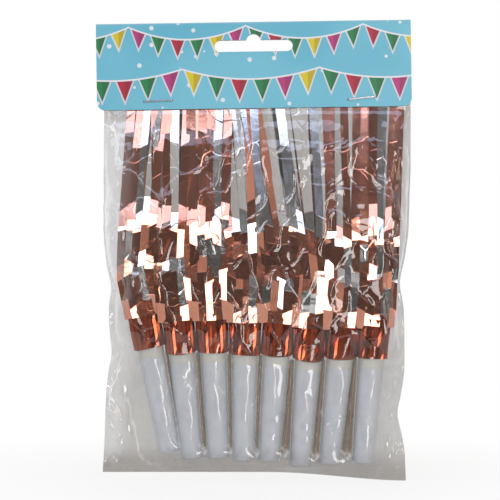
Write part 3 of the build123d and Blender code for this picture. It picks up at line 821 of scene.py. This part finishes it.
def soft_box(name, place, aim, width, height, level, tint=(1.0, 1.0, 1.0)):
    """An area lamp with a given brightness of its face."""
    lamp = bpy.data.lights.new(name, "AREA")
    lamp.shape = "RECTANGLE"
    lamp.size, lamp.size_y = width, height
    lamp.energy = level * math.pi * width * height
    lamp.color = tint
    made = bpy.data.objects.new(name, lamp)
    made.location = place
    made.rotation_euler = (Vector(aim) - Vector(place)).to_track_quat("-Z", "Y").to_euler()
    bpy.context.scene.collection.objects.link(made)


def room_light():
    """White backdrop behind the pack and a dim room with paler sides in front of it."""
    world = bpy.data.worlds.new("studio")
    bpy.context.scene.world = world
    world.use_nodes = True
    tree = world.node_tree
    back = tree.nodes["Background"]
    way = add(tree, "ShaderNodeTexCoord")
    parts = add(tree, "ShaderNodeSeparateXYZ", [(0, way.outputs["Generated"])])
    behind = smooth_range(tree, parts.outputs["Y"], -0.05, 0.45)
    room = add(tree, "ShaderNodeTexNoise", [("Vector", way.outputs["Generated"]), ("Scale", 3.2), ("Detail", 1.0)])
    dim = add(tree, "ShaderNodeMapRange", [("Value", room.outputs["Fac"]), ("From Min", 0.35), ("From Max", 0.65),
                                           ("To Min", 0.075), ("To Max", 0.18)])
    low = add(tree, "ShaderNodeMapRange", [("Value", parts.outputs["Z"]), ("From Min", -0.30), ("From Max", -0.05),
                                           ("To Min", 0.45), ("To Max", 1.0)])
    dim = math_node(tree, "MULTIPLY", dim.outputs["Result"], low.outputs["Result"])
    lifted = math_node(tree, "ADD", dim,
                       math_node(tree, "MULTIPLY", smooth_range(tree, parts.outputs["Z"], 0.45, 0.95), 0.3))
    lifted = math_node(tree, "ADD", lifted,
                       math_node(tree, "MULTIPLY", smooth_range(tree, parts.outputs["X"], -0.20, -0.36), 0.6))
    lifted = math_node(tree, "ADD", lifted,
                       math_node(tree, "MULTIPLY", smooth_range(tree, parts.outputs["X"], 0.45, 0.75), 0.5))
    seen = add(tree, "ShaderNodeLightPath")
    clear = math_node(tree, "MAXIMUM", seen.outputs["Is Camera Ray"], seen.outputs["Is Transmission Ray"])
    mirrored = math_node(tree, "MULTIPLY", seen.outputs["Is Glossy Ray"], behind)
    white = math_node(tree, "MAXIMUM", clear, mirrored)
    paler = add(tree, "ShaderNodeMix", [("Factor", behind), ("A", lifted), ("B", 0.65)])
    level = add(tree, "ShaderNodeMix", [("Factor", white), ("A", paler.outputs[0]), ("B", 1.0)])
    tree.links.new(level.outputs[0], back.inputs["Strength"])
    tree.links.new(mix_colour(tree, white, (1.0, 0.93, 0.87, 1.0), (1.0, 1.0, 1.0, 1.0)), back.inputs["Color"])


def soft_boxes(middle):
    """Four lamps in front of the pack."""
    soft_box("front_strip", middle + Vector((0.27, -0.91, -0.03)), middle, 0.16, 0.60, 8.5, (1.0, 0.94, 0.93))
    soft_box("upper_left", middle + Vector((-0.52, -0.66, 0.50)), middle, 0.42, 0.42, 2.3, (0.95, 1.0, 1.16))
    soft_box("over_front", middle + Vector((0.02, -0.84, 0.52)), middle, 0.60, 0.22, 3.0, (0.88, 1.0, 1.36))
    soft_box("right_side", middle + Vector((0.66, -0.55, 0.18)), middle, 0.20, 0.50, 2.4, (1.0, 0.84, 0.64))


def pale_floor():
    """A pale floor that keeps the pack's shadow and fades into the backdrop."""
    bpy.ops.mesh.primitive_circle_add(vertices=64, radius=0.22, fill_type="NGON",
                                      location=(0.0, 0.02, (BAG_BOTTOM - 4.4) * MM))
    floor = bpy.context.object
    floor.name = "floor"
    material, tree, shader, output = new_material("pale_floor")
    shader.inputs["Base Color"].default_value = (0.90, 0.90, 0.90, 1.0)
    shader.inputs["Roughness"].default_value = 0.8
    glow = add(tree, "ShaderNodeEmission", [("Color", (1.0, 1.0, 1.0, 1.0)), ("Strength", 1.0)])
    seen = add(tree, "ShaderNodeLightPath")
    clear = math_node(tree, "MAXIMUM", seen.outputs["Is Camera Ray"], seen.outputs["Is Transmission Ray"])
    clear = math_node(tree, "MAXIMUM", clear, seen.outputs["Is Glossy Ray"])
    spot = add(tree, "ShaderNodeTexCoord")
    away = add(tree, "ShaderNodeVectorMath", [(0, spot.outputs["Object"])], operation="LENGTH")
    bare = add(tree, "ShaderNodeMapRange", [("Value", away.outputs["Value"]), ("From Min", 0.07), ("From Max", 0.20),
                                            ("To Min", 0.82), ("To Max", 1.0)])
    lit = add(tree, "ShaderNodeMixShader", [(0, math_node(tree, "MULTIPLY", clear, bare.outputs["Result"])),
                                            (1, shader.outputs[0]), (2, glow.outputs[0])])
    tree.links.new(lit.outputs[0], output.inputs["Surface"])
    floor.data.materials.append(material)


def studio():
    """Room, lamps, floor and camera."""
    scene = bpy.context.scene
    scene.view_settings.view_transform = "Standard"
    middle = Vector((-0.0015, 0.0, -0.0857))
    room_light()
    soft_boxes(middle)
    pale_floor()
    camera = bpy.data.cameras.new("camera")
    camera.lens = 137.14
    camera.sensor_width = 36.0
    seat = bpy.data.objects.new("camera", camera)
    seat.location = middle + Vector((0.0, -0.8, 0.0))
    seat.rotation_euler = (math.radians(90.0), 0.0, 0.0)
    scene.collection.objects.link(seat)
    scene.camera = seat


tone_group = mottle_group()
skin_group = crinkle_group()
rose_foil = foil_material("rose_foil", (0.88, 0.37, 0.24, 1.0), (0.82, 0.33, 0.21, 1.0),
                          0.09, 0.14, 0.00004, 1.0, 7.0)
silver_foil = foil_material("silver_foil", (0.84, 0.85, 0.86, 1.0), (0.76, 0.77, 0.78, 1.0),
                            0.10, 0.15, 0.00004, 0.0, 7.0)
# The sleeve is the rose foil made darker and redder: painted shade and painted reflections between its pleats.
shaded_sleeve_foil = foil_material("shaded_sleeve_foil", (0.46, 0.098, 0.042, 1.0), (0.32, 0.064, 0.027, 1.0),
                            0.10, 0.16, 0.00003, 0.0)
tube_paper = foil_material("tube_paper", (0.80, 0.36, 0.24, 1.0), (0.68, 0.29, 0.19, 1.0), 0.24, 0.36, 0.00003, 0.0)

joint_list = {joint["name"]: joint for joint in frame["joints"]}
blowers = [Blower(number, joint_list) for number in range(1, 9)]

studio()
# The back sheet is the same film, made denser and warmer: painted shade behind the pack.
crinkled_film(film_material("clear_film", (0.055, 0.047, 0.034, 1.0), 0.18, 0.75, 0.046),
              film_material("clear_film_back_shaded", (0.24, 0.20, 0.13, 1.0), 0.52, 0.1, 0.02))
for one in blowers:
    frill(one, rose_foil, silver_foil, shaded_sleeve_foil)
    rolled_tube(one, tube_paper)
    tube_neck(one, tube_paper)

finishes = {
    "header_card": card_material(),
    "staples": wire_material(),
    "reed_plug": plain_plastic("reed_plastic", (0.58, 0.59, 0.62, 1.0), (0.50, 0.51, 0.54, 1.0), 0.30, 0.45),
    "reed_tongue": plain_plastic("reed_film", (0.66, 0.66, 0.62, 1.0), (0.58, 0.58, 0.54, 1.0), 0.18, 0.30),
}
for one in blowers:
    finishes[f"mouthpiece_{one.number}"] = mouthpiece_material(one)
for name, node in frame["nodes"].items():
    finish = finishes.get(name) or finishes.get(name.rstrip("_0123456789"))
    if finish is not None:
        node.data.materials.clear()
        node.data.materials.append(finish)
